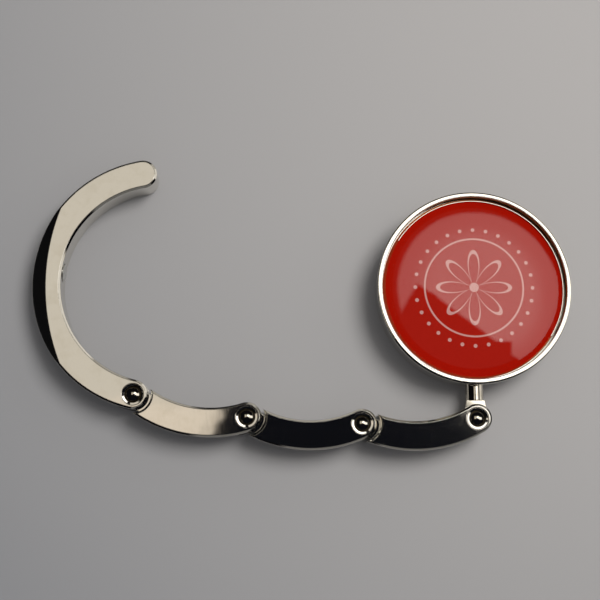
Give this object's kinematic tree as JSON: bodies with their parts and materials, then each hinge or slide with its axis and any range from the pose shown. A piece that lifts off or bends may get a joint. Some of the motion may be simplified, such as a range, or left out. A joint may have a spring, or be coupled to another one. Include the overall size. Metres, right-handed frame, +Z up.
{
  "type": "folding purse hook",
  "caption": "Folding purse hook: a round disc that rests on a table, a swivel post, hinged curved links and a C-shaped hook arm that wraps round the disc when folded.",
  "frame": {"origin": "centre of the grip pad's underside, on which the disc rests", "axes": "+Z up through the printed face, -Y along the swivel post, -X toward the opened hook arm"},
  "size_m": [0.0968, 0.0524, 0.0062],
  "materials": {
    "plated_casting": "polished",
    "plated_steel": "polished",
    "magnet_face": "polished",
    "plain_steel": "satin",
    "grip_rubber": "matte",
    "adhesive_film": "matte",
    "printed_film": "gloss",
    "clear_resin": "gloss"
  },
  "bodies": {
    "disc": {"disc_housing": "plated_casting", "keeper_slug": "plain_steel", "base_plate": "plain_steel", "pad_adhesive": "adhesive_film", "grip_pad": "grip_rubber", "print_adhesive": "adhesive_film", "printed_disc": "printed_film", "clear_dome": "clear_resin", "spring_washer": "plain_steel"},
    "post": {"swivel_post": "plated_steel", "post_washer": "plain_steel"},
    "first_link": {"link_1": "plated_casting", "hinge_rivet_1": "plated_steel"},
    "second_link": {"link_2": "plated_casting", "hinge_rivet_2": "plated_steel"},
    "third_link": {"link_3": "plated_casting", "hinge_rivet_3": "plated_steel"},
    "hook": {"hook_arm": "plated_casting", "hook_magnet": "magnet_face", "hinge_rivet_4": "plated_steel"}
  },
  "joints": [
    {"name": "post_swivel", "type": "hinge", "parent": "disc", "child": "post", "pos_m": [0, -0.0175, 0.00275], "axis": [0, 1, 0], "continuous": true},
    {"name": "post_hinge", "type": "hinge", "parent": "post", "child": "first_link", "pos_m": [0, -0.02355, 0.00275], "axis": [0, 0, 1], "range_deg": [-31.4, 75]},
    {"name": "first_link_hinge", "type": "hinge", "parent": "first_link", "child": "second_link", "pos_m": [-0.02038, -0.02448, 0.00275], "axis": [0, 0, 1], "range_deg": [-48.1, 20]},
    {"name": "second_link_hinge", "type": "hinge", "parent": "second_link", "child": "third_link", "pos_m": [-0.04075, -0.02337, 0.00275], "axis": [0, 0, 1], "range_deg": [-48.7, 20]},
    {"name": "hook_hinge", "type": "hinge", "parent": "third_link", "child": "hook", "pos_m": [-0.06077, -0.01948, 0.00275], "axis": [0, 0, 1], "range_deg": [-24.8, 35]}
  ]
}
